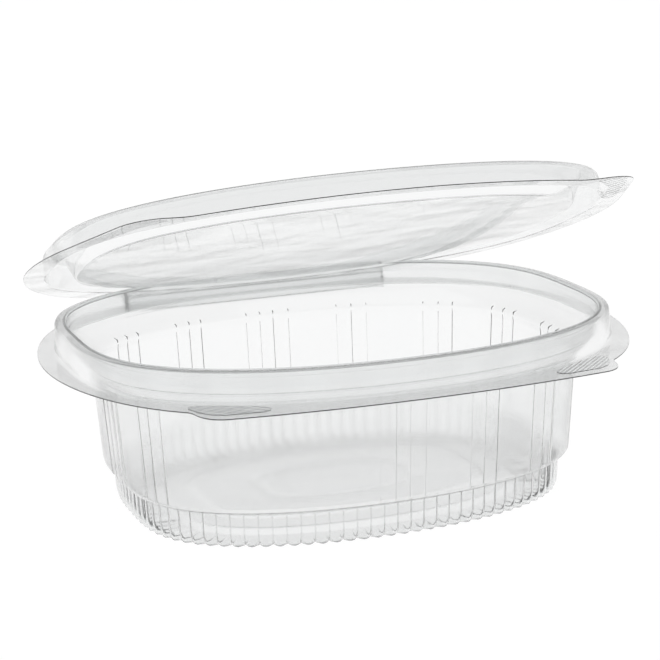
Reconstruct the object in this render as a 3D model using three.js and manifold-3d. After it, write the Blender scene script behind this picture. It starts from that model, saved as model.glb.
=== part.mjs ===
// Hinged oval takeaway container of thin clear plastic, with its lid standing part open.
// Millimetres. X runs along the long axis, the hinge is along the back (+Y), Z is up from the table.

import * as THREE from "three";
import Module from "manifold-3d";

const wasm = await Module();
wasm.setup();
const { Manifold, Mesh: SolidMesh } = wasm;

// Ovals: half length, half depth and the two powers of |x/a|^px + |y/b|^py = 1
const rimLine = { a: 66.2, b: 54.4, px: 2.09, py: 2.95 };
const tubFlange = { a: 74.5, b: 64.1, px: 3.25, py: 1.92 };
const lidFlange = { a: 76.1, b: 64.4, px: 3.25, py: 1.92 };

// Driving dimensions
const sheet = 0.45;
const flutes = 96;
const fluteRelief = 0.2;
const flangeTop = 39.8;
const lidFlangeTop = 41.45;
const hingeLine = { y: 62.2, z: 40.4, halfWidth: 38.5, gap: 0.2 };
const openAngle = THREE.MathUtils.degToRad(21);
const endWidening = 0.9;

// Fronts of the flanges on the +X side, from where the oval side ends round to the middle.
// The tub has a grip lug inside the notch and the lid has one outside it, so that both can be held.
const tubFront = { sideEnd: 55, notch: [52.3, -54.4], corner: [51.3, -60.6], tip: [45.6, -61.1], middle: -64.3 };
const lidFront = {
  sideEnd: 24,
  side: [64.6, -46.8],
  corner: [62.3, -54.3],
  tip: [55.5, -54.2],
  notch: [49.4, -52.4],
  middle: -63.5,
};

// Outlines of the raised grip pads on those lugs
const tubPad = [
  [36.4, -56.3], [37.4, -54.9], [50.2, -49.2], [51.6, -49.4], [51.9, -51.2],
  [51.0, -55.6], [48.9, -58.8], [45.6, -60.0], [38.2, -60.6], [36.6, -59.6],
];
const lidPad = [
  [66.2, -26.0], [69.2, -26.4], [68.2, -31.0], [63.0, -46.4], [61.2, -50.6], [58.6, -52.3],
  [55.6, -52.2], [53.4, -50.6], [56.5, -46.9], [60.4, -42.0], [63.8, -33.4],
];

// Food side of the tub's sheet: distance outward from the rim line, and height.
// Rows marked fine carry the flutes that run round the foot. The bead is wider at the two ends.
const tubFloor = 2.7;
const tubSection = [
  { out: -30, z: tubFloor },
  { out: -28.5, z: 1.6 },
  { out: -21.5, z: 1.6 },
  { out: -20.3, z: sheet },
  { out: -12, z: sheet, fine: true, relief: 0 },
  { out: -11.05, z: 1.3, fine: true, relief: fluteRelief },
  { out: -10.5, z: 8.6, fine: true, relief: fluteRelief },
  { out: -7.9, z: 10.8 },
  { out: -6.1, z: 33.8 },
  { out: -6.6, z: 35.4 },
  { out: -2.05, z: 40.2 },
  { out: -1, z: 42.2 },
  { out: 0, z: 47 },
  { out: 1.6, z: 46.85, widen: endWidening },
  { out: 3, z: flangeTop - 0.1 },
];

// Top side of the lid's sheet when the lid is shut: plug, raised bead over the tub's bead, skirt
const lidPanel = 41;
const lidSection = [
  { out: -4.15, z: lidPanel },
  { out: -3.5, z: 42.4 },
  { out: -1.6, z: 46.5 },
  { out: -0.8, z: 47.75 },
  { out: 2, z: 47.75, widen: endWidening },
  { out: 2.6, z: 47.1, widen: endWidening },
  { out: 3.75, z: lidFlangeTop - 0.1 },
];

function signedPower(value, power) {
  return Math.sign(value) * Math.abs(value) ** power;
}

function ovalPoint(oval, angle) {
  return new THREE.Vector2(
    oval.a * signedPower(Math.cos(angle), 2 / oval.px),
    oval.b * signedPower(Math.sin(angle), 2 / oval.py),
  );
}

function outwardAt({ x, y }) {
  return new THREE.Vector2(
    (rimLine.px / rimLine.a) * signedPower(x / rimLine.a, rimLine.px - 1),
    (rimLine.py / rimLine.b) * signedPower(y / rimLine.b, rimLine.py - 1),
  ).normalize();
}

// Points of the rim line with their outward directions, spaced so that the flutes of the foot are even
function rimStations(count) {
  const footOut = -10.3;
  const steps = 7200;
  const walk = [];
  let length = 0;
  for (let i = 0; i <= steps; i++) {
    const point = ovalPoint(rimLine, (i / steps) * 2 * Math.PI);
    const outward = outwardAt(point);
    const foot = point.clone().addScaledVector(outward, footOut);
    if (i > 0) length += foot.distanceTo(walk[i - 1].foot);
    walk.push({ x: point.x, y: point.y, outward, foot, length });
  }
  const stations = [];
  let next = 0;
  for (let i = 0; i < count; i++) {
    while (walk[next].length < (i / count) * length) next++;
    stations.push(walk[next]);
  }
  return stations;
}

const fineStations = rimStations(2 * flutes);
const coarseStations = fineStations.filter((station, i) => i % 2 === 0);

// The other face of the sheet: each corner of the section moved down its bisector by the thickness
function otherFace(section, floor) {
  const first = { out: section[0].out - 5, z: floor };
  return section.map((row, i) => {
    const before = section[i - 1] ?? first;
    const after = section[i + 1] ?? { out: 2 * row.out - before.out, z: 2 * row.z - before.z };
    const into = new THREE.Vector2(row.out - before.out, row.z - before.z).normalize();
    const onward = new THREE.Vector2(after.out - row.out, after.z - row.z).normalize();
    const bisector = new THREE.Vector2(into.y + onward.y, -into.x - onward.x).normalize();
    const reach = sheet / Math.max(0.5, bisector.x * into.y - bisector.y * into.x);
    return { ...row, out: row.out + bisector.x * reach, z: row.z + bisector.y * reach };
  });
}

// A closed sheet of even thickness swept round the rim line, with a flat middle
function sweptSheet(section, floor) {
  const rows = [...otherFace(section, floor), ...[...section].reverse()];
  const positions = [0, 0, floor - sheet];
  const rings = rows.map((row) => {
    const start = positions.length / 3;
    const stations = row.fine ? fineStations : coarseStations;
    stations.forEach((station, i) => {
      const flute = (row.relief ?? 0) * (i % 2 === 0 ? 1 : -1);
      const out = row.out + flute + (row.widen ?? 0) * station.outward.x ** 2;
      positions.push(station.x + station.outward.x * out, station.y + station.outward.y * out, row.z);
    });
    return { start, count: stations.length };
  });
  const top = positions.length / 3;
  positions.push(0, 0, floor);

  const faces = [];
  const at = (ring, i) => ring.start + (i % ring.count);
  for (let i = 0; i < rings[0].count; i++) faces.push(0, at(rings[0], i + 1), at(rings[0], i));
  for (let r = 0; r + 1 < rings.length; r++) {
    const [near, far] = [rings[r], rings[r + 1]];
    if (near.count === far.count) {
      for (let i = 0; i < near.count; i++) {
        faces.push(at(near, i), at(near, i + 1), at(far, i));
        faces.push(at(near, i + 1), at(far, i + 1), at(far, i));
      }
    } else {
      const outwards = near.count < far.count;
      const [coarse, fine] = outwards ? [near, far] : [far, near];
      for (let i = 0; i < coarse.count; i++) {
        const fan = [
          [at(coarse, i), at(fine, 2 * i + 1), at(fine, 2 * i)],
          [at(coarse, i), at(coarse, i + 1), at(fine, 2 * i + 1)],
          [at(coarse, i + 1), at(fine, 2 * i + 2), at(fine, 2 * i + 1)],
        ];
        fan.forEach((corners) => faces.push(...(outwards ? corners : corners.reverse())));
      }
    }
  }
  const last = rings[rings.length - 1];
  for (let i = 0; i < last.count; i++) faces.push(top, at(last, i), at(last, i + 1));
  return new Manifold(
    new SolidMesh({
      numProp: 3,
      vertProperties: new Float32Array(positions),
      triVerts: new Uint32Array(faces),
    }),
  );
}

// A flat plate between two heights, made from a plan outline
function plate(shape, bottom, top) {
  const geometry = new THREE.ExtrudeGeometry(shape, {
    depth: top - bottom,
    bevelEnabled: false,
    curveSegments: 8,
  });
  geometry.deleteAttribute("uv");
  geometry.deleteAttribute("normal");
  geometry.translate(0, 0, bottom);
  const corners = geometry.getAttribute("position").array;
  const mesh = new SolidMesh({
    numProp: 3,
    vertProperties: corners,
    triVerts: new Uint32Array(corners.length / 3).map((value, i) => i),
  });
  mesh.merge();
  return new Manifold(mesh);
}

// Plan of a flange: straight hinge edge at the back, oval sides and the front with its lugs
function flangeShape(oval, front, innerOut) {
  const back = hingeLine.y - hingeLine.gap;
  const hingeEnd = Math.acos((hingeLine.halfWidth / oval.a) ** (oval.px / 2));
  const sideEnd = THREE.MathUtils.degToRad(front.sideEnd);
  const steps = 22;
  const half = [new THREE.Vector2(hingeLine.halfWidth, back)];
  for (let i = 0; i <= steps; i++) {
    half.push(ovalPoint(oval, hingeEnd - (i / steps) * (hingeEnd + sideEnd)));
  }

  const { x, y } = half[half.length - 1];
  const frontCurve = new THREE.Path();
  frontCurve.moveTo(x, y);
  frontCurve.lineTo(...(front.side ?? front.notch));
  frontCurve.quadraticCurveTo(...front.corner, ...front.tip);
  if (front.side) frontCurve.lineTo(...front.notch);
  frontCurve.quadraticCurveTo(frontCurve.currentPoint.x / 2, front.middle, 0, front.middle);
  half.push(...frontCurve.getPoints(9).slice(1));

  const mirrored = half.slice(0, -1).reverse();
  const shape = new THREE.Shape([...half, ...mirrored.map(({ x, y }) => new THREE.Vector2(-x, y))]);
  const hole = coarseStations.map(
    ({ x, y, outward }) => new THREE.Vector2(x + outward.x * innerOut, y + outward.y * innerOut),
  );
  shape.holes.push(new THREE.Path(hole));
  return shape;
}

// Raised grip pads on the two front lugs of a flange
function gripPads(outline, bottom, top) {
  return [-1, 1].map((side) => {
    const corners = outline.map(([x, y]) => new THREE.Vector2(side * x, y));
    return plate(new THREE.Shape(corners), bottom, top);
  });
}

// A lip along the hinge edge, which the living hinge runs up from
function hingeLip(bottom, top) {
  const back = hingeLine.y - hingeLine.gap;
  const shape = new THREE.Shape();
  shape.moveTo(-hingeLine.halfWidth, back - 0.5);
  shape.lineTo(hingeLine.halfWidth, back - 0.5);
  shape.lineTo(hingeLine.halfWidth, back);
  shape.lineTo(-hingeLine.halfWidth, back);
  return plate(shape, bottom, top);
}

function meshOf(solid, name, material) {
  const { vertProperties, triVerts } = solid.getMesh();
  const geometry = new THREE.BufferGeometry();
  geometry.setAttribute("position", new THREE.BufferAttribute(vertProperties, 3));
  geometry.setIndex(new THREE.BufferAttribute(triVerts, 1));
  geometry.computeVertexNormals();
  const mesh = new THREE.Mesh(geometry, material);
  mesh.name = name;
  return mesh;
}

const clearPlastic = () =>
  new THREE.MeshStandardMaterial({
    color: 0xe9eded,
    roughness: 0.08,
    metalness: 0,
    transparent: true,
    opacity: 0.45,
    side: THREE.DoubleSide,
  });

// Tub: swept sheet, flange, grip pads and the lower half of the hinge
const tub = Manifold.union([
  sweptSheet(tubSection, tubFloor),
  plate(flangeShape(tubFlange, tubFront, 2.7), flangeTop - sheet, flangeTop),
  ...gripPads(tubPad, flangeTop - 0.1, flangeTop + 0.5),
  hingeLip(flangeTop - sheet, hingeLine.z - 0.15),
]);

// Lid, modelled shut and then turned about the hinge line to where it stands
const lid = Manifold.union([
  sweptSheet(lidSection, lidPanel),
  plate(flangeShape(lidFlange, lidFront, 3.5), lidFlangeTop - sheet, lidFlangeTop),
  ...gripPads(lidPad, lidFlangeTop - 0.1, lidFlangeTop + 0.5),
  hingeLip(hingeLine.z + 0.15, lidFlangeTop),
])
  .translate([0, -hingeLine.y, -hingeLine.z])
  .rotate([-THREE.MathUtils.radToDeg(openAngle), 0, 0])
  .translate([0, hingeLine.y, hingeLine.z]);

const group = new THREE.Group();
group.name = "takeaway_container";
group.add(meshOf(tub, "tub", clearPlastic()), meshOf(lid, "lid", clearPlastic()));

export default group;
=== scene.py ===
import bmesh
import bpy
import math
from mathutils import Matrix, Vector


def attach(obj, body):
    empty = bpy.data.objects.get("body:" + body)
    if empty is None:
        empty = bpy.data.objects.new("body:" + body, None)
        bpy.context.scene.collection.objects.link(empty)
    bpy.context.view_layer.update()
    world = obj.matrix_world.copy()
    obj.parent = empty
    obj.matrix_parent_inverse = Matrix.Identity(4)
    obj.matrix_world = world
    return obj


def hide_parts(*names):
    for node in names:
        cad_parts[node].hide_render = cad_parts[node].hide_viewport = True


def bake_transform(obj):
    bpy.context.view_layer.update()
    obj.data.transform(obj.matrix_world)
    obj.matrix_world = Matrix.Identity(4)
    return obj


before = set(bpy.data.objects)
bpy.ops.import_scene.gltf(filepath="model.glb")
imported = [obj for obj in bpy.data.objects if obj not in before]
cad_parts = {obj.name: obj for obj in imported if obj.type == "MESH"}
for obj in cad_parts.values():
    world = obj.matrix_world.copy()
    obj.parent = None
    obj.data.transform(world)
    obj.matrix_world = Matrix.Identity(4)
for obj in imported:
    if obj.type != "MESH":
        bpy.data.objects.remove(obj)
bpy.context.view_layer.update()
mm = 0.001


# Shader helpers

class Wire:
    # a shader socket that does arithmetic with other sockets and with numbers
    def __init__(self, tree, socket):
        self.tree, self.socket = tree, socket

    def maths(self, operation, first, second):
        return makeNode(self.tree, "ShaderNodeMath", {"operation": operation}, {0: first, 1: second})

    def __add__(self, other):
        return self.maths("ADD", self, other)

    def __radd__(self, other):
        return self.maths("ADD", other, self)

    def __mul__(self, other):
        return self.maths("MULTIPLY", self, other)

    def __rmul__(self, other):
        return self.maths("MULTIPLY", other, self)


def makeNode(tree, kind, settings=None, inputs=None, output=0):
    node = tree.nodes.new(kind)
    for key, value in (settings or {}).items():
        setattr(node, key, value)
    for key, value in (inputs or {}).items():
        if isinstance(value, Wire):
            tree.links.new(value.socket, node.inputs[key])
        else:
            node.inputs[key].default_value = value
    return Wire(tree, node.outputs[output]) if node.outputs else None


def mixColors(tree, share, first, second):
    # sockets 6 and 7 are the two colours, output 2 is the mixed one
    inputs = {0: share, 6: first, 7: second}
    return makeNode(tree, "ShaderNodeMix", {"data_type": "RGBA"}, inputs, output=2)


def newMaterial(name):
    material = bpy.data.materials.new(name)
    material.use_nodes = True
    tree = material.node_tree
    tree.nodes.clear()
    return material, tree


def useSurface(tree, shader):
    makeNode(tree, "ShaderNodeOutputMaterial", inputs={"Surface": shader})


def grey(value):
    return (value, value, value, 1)


# Clear plastic, one recipe for every piece

plasticLook = {
    "color": (0.93, 0.935, 0.935, 1),
    "ior": 1.5,
    "roughness": 0.03,
    "roughnessSpread": 0.06,
    "waveSize": 55,         # slow waves left by forming, per metre
    "waveDetail": 1.5,
    "waveDepth": 0.00010,   # in metres
    "grainSize": 900,
    "grainDetail": 2.0,
    "grainDepth": 0.000006,
}


def clearPlastic(name, changes):
    # a piece gives only the values in which its plastic differs
    look = {**plasticLook, **changes}
    material, tree = newMaterial(name)
    place = makeNode(tree, "ShaderNodeTexCoord", output="Object")
    waves = makeNode(tree, "ShaderNodeTexNoise", inputs={
        "Vector": place, "Scale": look["waveSize"], "Detail": look["waveDetail"],
    })
    grain = makeNode(tree, "ShaderNodeTexNoise", inputs={
        "Vector": place, "Scale": look["grainSize"], "Detail": look["grainDetail"],
    })
    height = waves * look["waveDepth"] + grain * look["grainDepth"]
    bump = makeNode(tree, "ShaderNodeBump", inputs={"Height": height, "Strength": 1.0, "Distance": 1.0})
    shader = makeNode(tree, "ShaderNodeBsdfPrincipled", inputs={
        "Base Color": look["color"],
        "Roughness": grain * look["roughnessSpread"] + look["roughness"],
        "IOR": look["ior"],
        "Transmission Weight": 1.0,
        "Normal": bump,
    })
    useSurface(tree, shader)
    return material


# Plan of the container, in millimetres

rimLine = {"a": 66.2, "b": 54.4, "px": 2.09, "py": 2.95}    # inner top line of the tub's bead
hinge = {"y": 62.2, "z": 40.4, "halfWidth": 38.5, "gap": 0.2, "open": math.radians(21)}
footOut = -10.3     # the flutes are even along this line
flutes = 96
evenPhases = [(k / 4, True) for k in range(4)]      # four even places for each flute


def signedPower(value, power):
    return math.copysign(abs(value) ** power, value)


def ovalPoint(oval, angle):
    return Vector((
        oval["a"] * signedPower(math.cos(angle), 2 / oval["px"]),
        oval["b"] * signedPower(math.sin(angle), 2 / oval["py"]),
    ))


def outwardAt(point):
    return Vector((
        rimLine["px"] / rimLine["a"] * signedPower(point.x / rimLine["a"], rimLine["px"] - 1),
        rimLine["py"] / rimLine["b"] * signedPower(point.y / rimLine["b"], rimLine["py"] - 1),
    )).normalized()


def rimWalk(steps=7200):
    # points round the rim line, each with the length walked along it and along the foot
    points, length, footLength, foot = [], 0.0, 0.0, None
    for i in range(steps + 1):
        point = ovalPoint(rimLine, i / steps * 2 * math.pi)
        footBefore, foot = foot, point + outwardAt(point) * footOut
        if i:
            length += (point - points[-1][0]).length
            footLength += (foot - footBefore).length
        points.append((point, length, footLength))
    return points


walk = rimWalk()
rimLength, footLength = walk[-1][1:]


def stationAt(along, measure=1):
    # the place on the rim line at a length along it, or along the foot where measure is 2
    low, high = 0, len(walk) - 1
    along %= walk[-1][measure]
    while high - low > 1:
        middle = (low + high) // 2
        if walk[middle][measure] > along:
            high = middle
        else:
            low = middle
    share = (along - walk[low][measure]) / max(1e-9, walk[high][measure] - walk[low][measure])
    point = walk[low][0].lerp(walk[high][0], share)
    return {
        "point": point,
        "outward": outwardAt(point),
        "along": walk[low][1] + (walk[high][1] - walk[low][1]) * share,
        "foot": walk[low][2] + (walk[high][2] - walk[low][2]) * share,
    }


# Fine upright ribs of the wall

ribs = {
    # lengths along the rim line, in groups as on the real wall
    "alongs": [
        -11.0, -7.0, -2.5, 2.2, 18.3, 23.5, 28.6, 43.5, 48.2, 53.1, 70.7, 75.2, 79.8,
        94.4, 99.0, 103.1, 107.3, 121.7, 125.6, 130.0, 144.1, 148.8, 153.4, 169.3, 174.4, 179.6,
        195.8, 200.4, 205.0, 209.0, 222.4, 226.8, 231.4, 291.0, 295.1, 299.0, 303.2,
        316.5, 320.7, 324.8, 337.6, 342.6, 346.8, 362.4, 367.0, 371.4,
    ],
    "width": 0.24,
    "depth": 0.2,
    "bottom": 10.4,
    "top": 36.6,
    "fade": 0.2,
    "line": [(10.4, -7.95), (18.0, -7.3), (30.0, -6.5), (33.8, -6.25), (60.0, -6.25)],  # heights, wall there
    "steps": (-0.4, -0.18, 0, 0.18, 0.4),   # places across one rib
    "clear": 0.5,                           # places of the flutes nearer than this give way to a rib's own
}


def makeStations(phases, withRibs=False):
    # phases are places within one flute, and those marked main carry the smooth parts of the sheet alone
    stations = []
    for i in range(flutes):
        for phase, main in phases:
            stations.append({**stationAt(footLength * (i + phase) / flutes, 2), "main": main})
    for rib in ribs["alongs"] if withRibs else ():
        rib %= rimLength
        stations = [s for s in stations if s["main"] or abs(s["along"] - rib) > ribs["clear"]]
        stations += [{**stationAt(rib + step), "main": False} for step in ribs["steps"]]
    return sorted(stations, key=lambda station: station["along"])


def ribDip(along, out, z):
    # how far a rib stands inward of the sheet here
    fade = ribs["fade"]
    strength = min(1, max(0, (z - ribs["bottom"]) / fade)) * min(1, max(0, (ribs["top"] - z) / fade))
    if strength == 0:
        return 0
    near = min(abs((along - rib + rimLength / 2) % rimLength - rimLength / 2) for rib in ribs["alongs"])
    line = ribs["line"]
    i = max(k for k in range(len(line) - 1) if line[k][0] <= z)
    (z0, out0), (z1, out1) = line[i], line[i + 1]
    crest = out0 + (out1 - out0) * (z - z0) / (z1 - z0) - ribs["depth"]
    return strength * max(0, out - crest) * math.exp(-(near / ribs["width"]) ** 2)


# Flange, from the foot of the bead to its cut edge

flangeRows = [
    # shares of the way to the edge; the last inset keeps the edge crisp
    {"share": 0.3, "inset": 0, "plain": True},
    {"share": 0.6, "inset": 0, "plain": True},
    {"share": 0.85, "inset": 0},
    {"share": 1, "inset": 0.02},
    {"share": 1, "inset": 0},
]


def curveThrough(start, control, end, steps=16):
    # a quadratic curve without its first point
    start, control, end = Vector(start), Vector(control), Vector(end)
    shares = [k / steps for k in range(1, steps + 1)]
    return [start * (1 - t) ** 2 + control * 2 * t * (1 - t) + end * t * t for t in shares]


def flangeOutline(shape, sideSteps=60):
    # straight hinge edge at the back, oval sides and the front with its lugs
    oval, front = shape["flange"], shape["front"]
    hingeEnd = math.acos((hinge["halfWidth"] / oval["a"]) ** (oval["px"] / 2))
    sideEnd = math.radians(front["sideEnd"])
    half = [Vector((hinge["halfWidth"], hinge["y"] - hinge["gap"]))]
    half += [ovalPoint(oval, hingeEnd - i / sideSteps * (hingeEnd + sideEnd)) for i in range(sideSteps + 1)]
    half.append(Vector(front["start"]))
    half += curveThrough(half[-1], front["corner"], front["tip"])
    if "notch" in front:
        half += curveThrough(half[-1], front["notchBend"], front["notch"], steps=6)
    half += curveThrough(half[-1], (half[-1].x / 2, front["middle"]), (0, front["middle"]), steps=24)
    return half + [Vector((-p.x, p.y)) for p in reversed(half[:-1])]


def flangeReach(outline, station):
    # how far outward of the rim line the flange's edge is, which is always more than the bead's width
    best, beadWidth = math.inf, 2
    point, outward = station["point"], station["outward"]
    for a, b in zip(outline, outline[1:] + outline[:1]):
        side = b - a
        turn = outward.x * side.y - outward.y * side.x
        if abs(turn) < 1e-9:
            continue
        gap = a - point
        reach = (gap.x * side.y - gap.y * side.x) / turn
        share = (gap.x * outward.y - gap.y * outward.x) / turn
        if reach > beadWidth and 0 <= share <= 1:
            best = min(best, reach)
    return best


# Sheet that follows a section round the rim line

def roundedRows(section, steps):
    # each corner of the section that has a radius becomes a short curve
    longestShare, leastCut = 0.46, 0.04
    rows = []
    for i, corner in enumerate(section):
        if not corner.get("radius"):
            rows.append(corner)
            continue
        here = Vector((corner["out"], corner["z"]))
        before = Vector((section[i - 1]["out"], section[i - 1]["z"]))
        after = Vector((section[i + 1]["out"], section[i + 1]["z"]))
        turn = (here - before).angle(after - here)
        cut = corner["radius"] * math.tan(turn / 2)
        cut = min(cut, longestShare * (here - before).length, longestShare * (after - here).length)
        if cut < leastCut:
            rows.append(corner)
            continue
        first = here + (before - here).normalized() * cut
        last = here + (after - here).normalized() * cut
        for k in range(steps + 1):
            t = k / steps
            spot = first * (1 - t) ** 2 + here * 2 * t * (1 - t) + last * t * t
            rows.append({**corner, "out": spot.x, "z": spot.y})
    return rows


def fluteCrest(foot):
    # one convex flute: 0 in the valley, 1 on its crest
    phase = foot / footLength * flutes % 1
    return math.sqrt(max(0.0, 1 - (2 * phase - 1) ** 2))


def sheetPoint(shape, row, station, reach):
    # where the sheet is at one row of its section and one place round the rim line:
    # relief and lift follow the flutes, widen moves the two ends out, shrink draws in towards the middle
    root = shape["section"][-1]
    out, z = row.get("out"), row.get("z", root["z"])
    if "share" in row:
        out = root["out"] + (reach - row["inset"] - root["out"]) * row["share"]
    crest = fluteCrest(station["foot"])
    out += row.get("relief", 0) * (crest - 1) + row.get("widen", 0) * station["outward"].x ** 2
    z += row.get("lift", 0) * (1 - crest)
    if shape["ribbed"]:
        out -= ribDip(station["along"], out, z)
    spot = (station["point"] + station["outward"] * out) * row.get("shrink", 1)
    return Vector((spot.x, spot.y, z)) * mm


def edgesAlong(bm, line, closed):
    ends = line[1:] + line[:1] if closed else line[1:]
    return [bm.edges.get(pair) for pair in zip(line, ends)]


def extrudeLine(bm, line, closed):
    # gives the new line of vertices, and the edges that lead to it
    made = bmesh.ops.extrude_edge_only(bm, edges=edgesAlong(bm, line, closed))["geom"]
    fresh = {v for v in made if isinstance(v, bmesh.types.BMVert)}
    leads = [next(e for e in v.link_edges if e.other_vert(v) in fresh) for v in line]
    return [lead.other_vert(vert) for lead, vert in zip(leads, line)], leads


def finishMesh(name, bm, smooth=True):
    for face in bm.faces:
        face.smooth = smooth
    mesh = bpy.data.meshes.new(name)
    bm.to_mesh(mesh)
    bm.free()
    piece = bpy.data.objects.new(name, mesh)
    bpy.context.scene.collection.objects.link(piece)
    return piece


def thicken(piece, thickness):
    # the sheet's thickness, on its under side
    solid = piece.modifiers.new("thickness", "SOLIDIFY")
    solid.thickness = thickness * mm
    solid.offset = -1


def sweptSheet(name, shape):
    stations = makeStations(shape["phases"], shape["ribbed"])
    outline = flangeOutline(shape)
    reaches = [flangeReach(outline, station) for station in stations]
    bm = bmesh.new()
    ring = bmesh.ops.create_circle(bm, segments=len(stations), radius=1)["verts"]
    innermost, previous, spare = ring, None, []
    for row in roundedRows(shape["section"], shape["roundSteps"]) + flangeRows:
        if previous:
            ring, leads = extrudeLine(bm, ring, True)
            if previous.get("plain") and row.get("plain"):
                spare += [lead for lead, station in zip(leads, stations) if not station["main"]]
        for station, vert, reach in zip(stations, ring, reaches):
            vert.co = sheetPoint(shape, row, station, reach)
        previous = row
    bmesh.ops.contextual_create(bm, geom=edgesAlong(bm, innermost, True))
    if spare:
        bmesh.ops.dissolve_edges(bm, edges=spare, use_verts=True)   # plain rows keep the main places alone
    bmesh.ops.recalc_face_normals(bm, faces=bm.faces)
    panel = max(bm.faces, key=lambda face: len(face.verts))
    if panel.normal.z < 0:
        bmesh.ops.reverse_faces(bm, faces=bm.faces)
    piece = finishMesh(name, bm)
    thicken(piece, shape["thickness"])
    return piece


# Tub

tubShape = {
    "look": {"color": (0.945, 0.95, 0.95, 1), "roughness": 0.085},
    "thickness": 0.24,
    "flange": {"a": 74.5, "b": 64.1, "px": 3.25, "py": 1.92},
    "front": {
        "sideEnd": 55, "start": (52.3, -54.4), "corner": (51.3, -60.6), "tip": (45.6, -61.1), "middle": -64.3,
    },
    "section": [
        # distance outward from the rim line and height, on the food side of the sheet
        # raised floor with an oval ring
        {"out": -31.5, "z": 2.7, "shrink": 0.52, "plain": True},
        {"out": -31.5, "z": 2.6, "shrink": 0.54, "plain": True},
        {"out": -31.5, "z": 2.3, "shrink": 0.56, "plain": True},
        {"out": -31.5, "z": 2.3, "shrink": 0.6, "plain": True},
        {"out": -31.5, "z": 2.6, "shrink": 0.62, "plain": True},
        {"out": -31.5, "z": 2.7, "shrink": 0.64, "plain": True},
        {"out": -31.5, "z": 2.7, "plain": True},
        {"out": -30.2, "z": 2.7, "radius": 1.0, "plain": True},
        {"out": -28.6, "z": 1.6, "radius": 1.0, "plain": True},
        {"out": -21.6, "z": 1.6, "radius": 0.8, "plain": True},
        {"out": -20.2, "z": 0.25, "radius": 0.8, "plain": True},
        {"out": -15.0, "z": 0.25, "plain": True},
        # fluted foot: relief is the flutes' depth, lift makes the scallops at their lower ends
        {"out": -12.5, "z": 0.25, "relief": 0.3, "lift": 0.6},
        {"out": -11.3, "z": 0.5, "relief": 0.75, "lift": 1.35},
        {"out": -10.9, "z": 1.7, "relief": 0.85, "lift": 0.8},
        {"out": -10.7, "z": 3.2, "relief": 0.85, "lift": 0.2},
        {"out": -10.6, "z": 6.0, "relief": 0.85},
        {"out": -10.5, "z": 8.2, "relief": 0.8},
        {"out": -10.4, "z": 8.7, "relief": 0.65},
        {"out": -10.2, "z": 9.05, "relief": 0.3},
        {"out": -9.8, "z": 9.3},
        # wall
        {"out": -8.6, "z": 9.7, "radius": 0.5},
        {"out": -7.9, "z": 10.6, "radius": 0.8},
        {"out": -7.75, "z": 12.0},
        {"out": -7.3, "z": 18.0},
        {"out": -6.5, "z": 30.0},
        {"out": -6.2, "z": 33.8, "radius": 1.2},
        # shoulder and ledge
        {"out": -6.6, "z": 35.4, "radius": 0.6},
        {"out": -6.15, "z": 36.05},
        {"out": -5.75, "z": 36.4},
        {"out": -5.5, "z": 36.65},
        {"out": -5.1, "z": 37.0, "plain": True},
        {"out": -4.5, "z": 37.55, "plain": True},
        {"out": -2.9, "z": 39.0, "plain": True},
        {"out": -2.05, "z": 40.2, "radius": 0.5, "plain": True},
        # bead
        {"out": -1.15, "z": 41.0, "radius": 0.4, "plain": True},
        {"out": -0.85, "z": 44.4, "radius": 0.5, "plain": True},
        {"out": -0.35, "z": 45.1, "radius": 0.5, "plain": True},
        {"out": -0.05, "z": 47.0, "radius": 0.7, "plain": True},
        {"out": 1.65, "z": 46.9, "radius": 0.7, "widen": 0.9, "plain": True},
        {"out": 3.0, "z": 39.8, "radius": 0.8, "plain": True},
        {"out": 4.2, "z": 39.8, "plain": True},
    ],
    "roundSteps": 2,
    "phases": [
        (0, True), (0.05, False), (0.14, False), (0.3, True),
        (0.5, True), (0.7, True), (0.86, False), (0.95, False),
    ],
    "ribbed": True,
}

tubShell = sweptSheet("tub_shell", tubShape)
tubShell.data.materials.append(clearPlastic("clear_tub", tubShape["look"]))
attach(tubShell, "tub")
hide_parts("tub")
print("tub made,", len(tubShell.data.polygons), "faces")


# Lid, shaped shut and then turned about the hinge

lidShape = {
    "look": {},
    "thickness": 0.2,
    "flange": {"a": 76.1, "b": 64.4, "px": 3.25, "py": 1.92},
    "front": {
        "sideEnd": 24, "start": (64.6, -46.8), "corner": (62.3, -54.3), "tip": (55.5, -54.2),
        "notchBend": (50.6, -52.9), "notch": (48.0, -53.5), "middle": -63.5,
    },
    "section": [
        {"out": -20.0, "z": 41.0},
        {"out": -12.0, "z": 41.0},
        {"out": -4.15, "z": 41.0, "radius": 0.9},
        {"out": -1.6, "z": 46.5, "radius": 1.0},
        {"out": -0.8, "z": 47.75, "radius": 0.7},
        {"out": 2.0, "z": 47.75, "radius": 0.8, "widen": 0.9},
        {"out": 2.7, "z": 46.8, "radius": 0.9, "widen": 0.8},
        {"out": 3.8, "z": 41.45, "radius": 0.7},
        {"out": 4.8, "z": 41.45},
    ],
    "roundSteps": 4,
    "phases": evenPhases,
    "ribbed": False,
}


def turnOpen(piece):
    bm = bmesh.new()
    bm.from_mesh(piece.data)
    pivot = Vector((0, hinge["y"], hinge["z"])) * mm
    bmesh.ops.rotate(bm, cent=pivot, matrix=Matrix.Rotation(-hinge["open"], 3, "X"), verts=bm.verts)
    bm.to_mesh(piece.data)
    bm.free()


lidShell = sweptSheet("lid_shell", lidShape)
turnOpen(lidShell)
lidShell.data.materials.append(clearPlastic("clear_lid", lidShape["look"]))
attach(lidShell, "lid")
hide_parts("lid")
print("lid made,", len(lidShell.data.polygons), "faces")


# Thick roll along the inner top edge of the tub's bead

rimRoll = {
    "look": {"color": (0.86, 0.87, 0.87, 1)},
    "out": 0.1,
    "z": 46.7,
    "radius": 0.5,
    "sides": 14,
}


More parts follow.
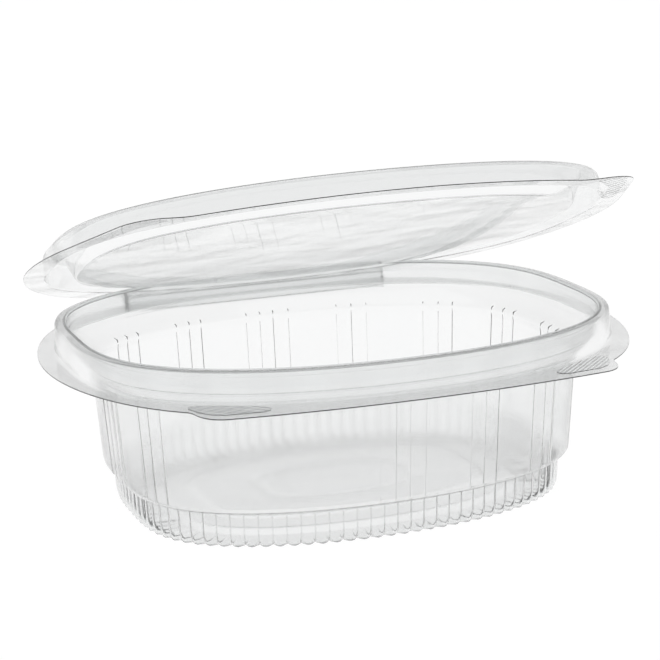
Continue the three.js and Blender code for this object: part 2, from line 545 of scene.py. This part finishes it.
def rollAlongRim(shape):
    bm = bmesh.new()
    ring = bmesh.ops.create_circle(bm, segments=shape["sides"], radius=1)["verts"]
    first = ring
    for number, station in enumerate(makeStations(evenPhases)):
        if number:
            ring = extrudeLine(bm, ring, True)[0]
        for i, vert in enumerate(ring):
            turn = 2 * math.pi * i / shape["sides"]
            spot = station["point"] + station["outward"] * (shape["out"] + shape["radius"] * math.cos(turn))
            vert.co = Vector((spot.x, spot.y, shape["z"] + shape["radius"] * math.sin(turn))) * mm
    bmesh.ops.bridge_loops(bm, edges=edgesAlong(bm, first, True) + edgesAlong(bm, ring, True))
    bmesh.ops.recalc_face_normals(bm, faces=bm.faces)
    return finishMesh("rim_roll", bm)


roll = rollAlongRim(rimRoll)
roll.data.materials.append(clearPlastic("clear_roll", rimRoll["look"]))
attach(roll, "tub")
print("rim roll made")


# Hinge strip, one folded band that bends between the two flanges

stripShape = {
    "look": {"color": (0.85, 0.86, 0.86, 1), "roughness": 0.1},
    "thickness": 0.14,
    "section": [
        # y and z where the lid stands open
        (62.25, 37.0), (62.42, 37.35), (62.25, 37.7), (62.25, 38.4), (62.42, 38.75), (62.25, 39.1),
        (62.28, 39.5), (62.55, 39.9), (62.8, 40.2),
        (62.9, 40.5), (62.8, 40.8), (62.55, 41.05), (62.34, 41.25), (62.15, 41.32),
    ],
    "columns": 40,
}


def hingeStrip(shape):
    bm = bmesh.new()
    half, columns = hinge["halfWidth"], shape["columns"]
    y, z = shape["section"][0]
    line = [bm.verts.new(Vector((half * (2 * i / columns - 1), y, z)) * mm) for i in range(columns + 1)]
    for a, b in zip(line, line[1:]):
        bm.edges.new((a, b))
    for before, after in zip(shape["section"], shape["section"][1:]):
        line = extrudeLine(bm, line, False)[0]
        step = Vector((0, after[0] - before[0], after[1] - before[1])) * mm
        bmesh.ops.translate(bm, verts=line, vec=step)
    bmesh.ops.recalc_face_normals(bm, faces=bm.faces)
    if sum(face.normal.y for face in bm.faces) < 0:
        bmesh.ops.reverse_faces(bm, faces=bm.faces)
    piece = finishMesh("hinge_strip", bm)
    thicken(piece, shape["thickness"])
    return piece


strip = hingeStrip(stripShape)
strip.data.materials.append(clearPlastic("clear_fold", stripShape["look"]))
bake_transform(strip)
print("hinge strip made")


# Hatched grip pads on the lugs

gripLook = {"color": (0.98, 0.983, 0.983, 1), "roughness": 0.06, "grainDepth": 0.00002}
hatching = {"step": 0.5, "sink": 0.04, "turn": math.radians(45)}
tubPad = {
    "outline": [
        (35.4, -57.0), (36.4, -55.2), (45.3, -50.0), (50.3, -47.9), (52.3, -48.1), (52.6, -49.5),
        (51.4, -53.2), (49.3, -56.2), (46.4, -57.9), (38.0, -59.0), (36.0, -58.4),
    ],
    "bottom": 39.75,
    "height": 0.2,
}
lidPad = {
    "outline": [
        (66.2, -26.0), (69.2, -26.4), (68.2, -31.0), (63.0, -46.4), (61.2, -50.6), (58.6, -52.3),
        (55.6, -52.2), (53.4, -50.6), (56.5, -46.9), (60.4, -42.0), (63.8, -33.4),
    ],
    "bottom": 41.4,
    "height": 0.2,
}


def hatchTop(bm, side, level):
    # cuts across the top, and every second one sunk
    along = Vector((side * math.cos(hatching["turn"]), math.sin(hatching["turn"]), 0))
    across = Vector((-along.y, along.x, 0))
    spread = [vert.co.dot(across) for vert in bm.verts]
    step = hatching["step"] * mm
    place, last, cuts = min(spread) + step, max(spread) - step / 2, []
    while place < last:
        cuts.append(place)
        whole = bm.verts[:] + bm.edges[:] + bm.faces[:]
        bmesh.ops.bisect_plane(bm, geom=whole, plane_co=across * place, plane_no=across, dist=1e-7)
        place += step
    for cut in cuts[1::2]:
        for v in bm.verts:
            if abs(v.co.dot(across) - cut) < 2e-6 and abs(v.co.z - level) < 1e-6:
                v.co.z -= hatching["sink"] * mm


def gripPad(name, pad, side):
    bm = bmesh.new()
    face = bm.faces.new([bm.verts.new(Vector((side * x, y, pad["bottom"])) * mm) for x, y in pad["outline"]])
    bmesh.ops.recalc_face_normals(bm, faces=[face])
    if face.normal.z < 0:
        bmesh.ops.reverse_faces(bm, faces=[face])
    made = bmesh.ops.extrude_face_region(bm, geom=[face])["geom"]
    top = [v for v in made if isinstance(v, bmesh.types.BMVert)]
    bmesh.ops.translate(bm, verts=top, vec=(0, 0, pad["height"] * mm))
    bmesh.ops.recalc_face_normals(bm, faces=bm.faces)
    hatchTop(bm, side, (pad["bottom"] + pad["height"]) * mm)
    return finishMesh(name, bm, smooth=False)


gripPlastic = clearPlastic("clear_grip", gripLook)
for prefix, pad, body in (("tub_pad", tubPad, "tub"), ("lid_pad", lidPad, "lid")):
    for side, label in ((-1, "left"), (1, "right")):
        piece = gripPad(prefix + "_" + label, pad, side)
        if body == "lid":
            turnOpen(piece)
        piece.data.materials.append(gripPlastic)
        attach(piece, body)
print("grip pads made")


# Floor, backdrop and lights

studio = {
    "floor": 0.99,              # brightness of the floor
    "paintedShade": 0.985,             # painted contact shadow: the floor's glow right under the foot
    "paintedShadeReach": (53, 41),     # half length and half depth of that painted shadow patch, in millimetres
    "paintedShadeEdge": (0.7, 1.05),   # shares of the reach over which the painted shadow ends
    "floorColor": 0.05,
    "floorSize": 8.0,
    "floorPlace": (0, 1.2, -0.0002),    # most of it behind, and just under the foot
    "horizon": 0.8,             # brightness of the sky low down and overhead
    "overhead": 0.2,
    "skyHeights": (0.15, 0.75),
    "lampSize": 1.0,
    "lampEnergy": 1.5,
    "lampPlace": (0, 0.1, 1.3),
}


def floorWithPaintedShadow():
    material, tree = newMaterial("studio_floor_painted_shadow")
    # painted contact shadow: the floor's glow is lowered inside a soft-edged oval under the foot
    place = makeNode(tree, "ShaderNodeTexCoord", output="Object")
    spread = tuple(1 / (reach * mm) for reach in studio["paintedShadeReach"]) + (0,)
    scaled = makeNode(tree, "ShaderNodeVectorMath", {"operation": "MULTIPLY"}, {0: place, 1: spread})
    away = makeNode(tree, "ShaderNodeVectorMath", {"operation": "LENGTH"}, {0: scaled}, output="Value")
    share = makeNode(tree, "ShaderNodeMapRange", {"interpolation_type": "SMOOTHSTEP"}, {
        "Value": away, "From Min": studio["paintedShadeEdge"][0], "From Max": studio["paintedShadeEdge"][1],
        "To Min": studio["paintedShade"], "To Max": studio["floor"],
    })
    useSurface(tree, makeNode(tree, "ShaderNodeBsdfPrincipled", inputs={
        "Base Color": grey(studio["floorColor"]), "Roughness": 1.0, "Specular IOR Level": 0.0,
        "Emission Color": mixColors(tree, share, grey(0), grey(1)), "Emission Strength": 1.0,
    }))
    return material


def studioFloor():
    bm = bmesh.new()
    half = studio["floorSize"] / 2
    bmesh.ops.create_grid(bm, x_segments=1, y_segments=1, size=half)
    bmesh.ops.translate(bm, verts=bm.verts, vec=studio["floorPlace"])
    floor = finishMesh("studio_floor", bm)
    floor.data.materials.append(floorWithPaintedShadow())
    return floor


def studioSky():
    # light near the horizon and darker overhead
    world = bpy.data.worlds.new("studio")
    world.use_nodes = True
    tree = world.node_tree
    tree.nodes.clear()
    direction = makeNode(tree, "ShaderNodeTexCoord", output="Generated")
    share = makeNode(tree, "ShaderNodeMapRange", inputs={
        "Value": makeNode(tree, "ShaderNodeSeparateXYZ", inputs={0: direction}, output="Z"),
        "From Min": studio["skyHeights"][0], "From Max": studio["skyHeights"][1],
    })
    color = mixColors(tree, share, grey(studio["horizon"]), grey(studio["overhead"]))
    background = makeNode(tree, "ShaderNodeBackground", inputs={"Color": color, "Strength": 1.0})
    makeNode(tree, "ShaderNodeOutputWorld", inputs={"Surface": background})
    return world


def overheadLamp():
    light = bpy.data.lights.new("overhead", "AREA")
    light.size = studio["lampSize"]
    light.energy = studio["lampEnergy"]
    lamp = bpy.data.objects.new("overhead", light)
    lamp.location = studio["lampPlace"]
    bpy.context.scene.collection.objects.link(lamp)


studioFloor()
bpy.context.scene.world = studioSky()
overheadLamp()
print("studio made")


# Camera, as fitted to the photograph

view = {
    "azimuth": math.radians(-19.75),
    "elevation": math.radians(14.91),
    "roll": math.radians(-1.64),
    "distance": 0.5185,
    "target": (0, 0, 0.03),
    "frame": 660,                   # side of the photograph in pixels
    "focus": 2022,                  # focal length, in the same pixels
    "centre": (333.27, 373.74),     # pixel that the lens points straight at
    "sensor": 36,
}


def photoCamera():
    azimuth, elevation, roll = view["azimuth"], view["elevation"], view["roll"]
    level = math.cos(elevation)
    away = Vector((math.sin(azimuth) * level, -math.cos(azimuth) * level, math.sin(elevation)))
    right = Vector((math.cos(azimuth), math.sin(azimuth), 0))
    up = away.cross(right)
    axes = (right * math.cos(roll) + up * math.sin(roll), up * math.cos(roll) - right * math.sin(roll), away)
    lens = bpy.data.cameras.new("camera")
    lens.sensor_width = view["sensor"]
    lens.lens = view["focus"] * view["sensor"] / view["frame"]
    lens.shift_x = (view["frame"] / 2 - view["centre"][0]) / view["frame"]
    lens.shift_y = (view["centre"][1] - view["frame"] / 2) / view["frame"]
    camera = bpy.data.objects.new("camera", lens)
    place = Matrix.Translation(Vector(view["target"]) + away * view["distance"])
    camera.matrix_world = place @ Matrix(axes).transposed().to_4x4()
    bpy.context.scene.collection.objects.link(camera)
    return camera


scene = bpy.context.scene
scene.camera = photoCamera()
scene.view_settings.view_transform = "Standard"
scene.view_settings.look = "None"
# clear sheets lie many deep behind each other
scene.cycles.max_bounces = 32
scene.cycles.transmission_bounces = 32
scene.cycles.glossy_bounces = 8
scene.cycles.transparent_max_bounces = 32
print("camera set")
